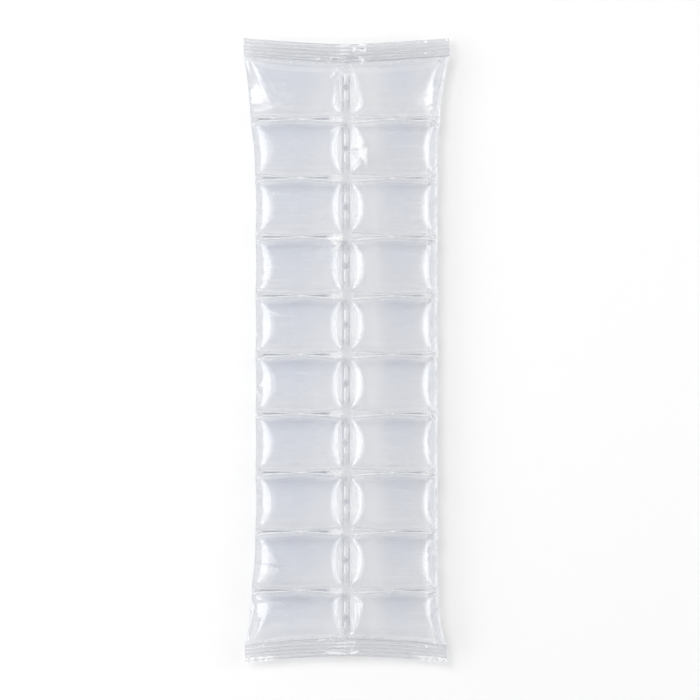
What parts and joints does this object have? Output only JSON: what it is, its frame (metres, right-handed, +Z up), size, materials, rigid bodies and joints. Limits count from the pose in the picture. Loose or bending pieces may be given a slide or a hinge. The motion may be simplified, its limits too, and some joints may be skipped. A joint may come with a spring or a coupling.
{
  "type": "ice cube bag",
  "caption": "Filled strip of ice cube cells: clear film tube with crimped ends, welded down the middle and across into paired water-filled pillows, lying flat.",
  "frame": {"origin": "on the table under the middle of the bag, midway between the side folds and between the cut ends", "axes": "+X across the bag, +Y along the bag towards the mouth's seal, +Z up from the table"},
  "size_m": [0.1092, 0.331, 0.0149],
  "materials": {
    "clear_film": "thin clear glossy film",
    "water": "clear water"
  },
  "bodies": {
    "root": {"film_tube": "clear_film", "water_left_01": "water", "water_left_02": "water", "water_left_03": "water", "water_left_04": "water", "water_left_05": "water", "water_left_06": "water", "water_left_07": "water", "water_left_08": "water", "water_left_09": "water", "water_left_10": "water", "water_right_01": "water", "water_right_02": "water", "water_right_03": "water", "water_right_04": "water", "water_right_05": "water", "water_right_06": "water", "water_right_07": "water", "water_right_08": "water", "water_right_09": "water", "water_right_10": "water"}
  },
  "joints": []
}
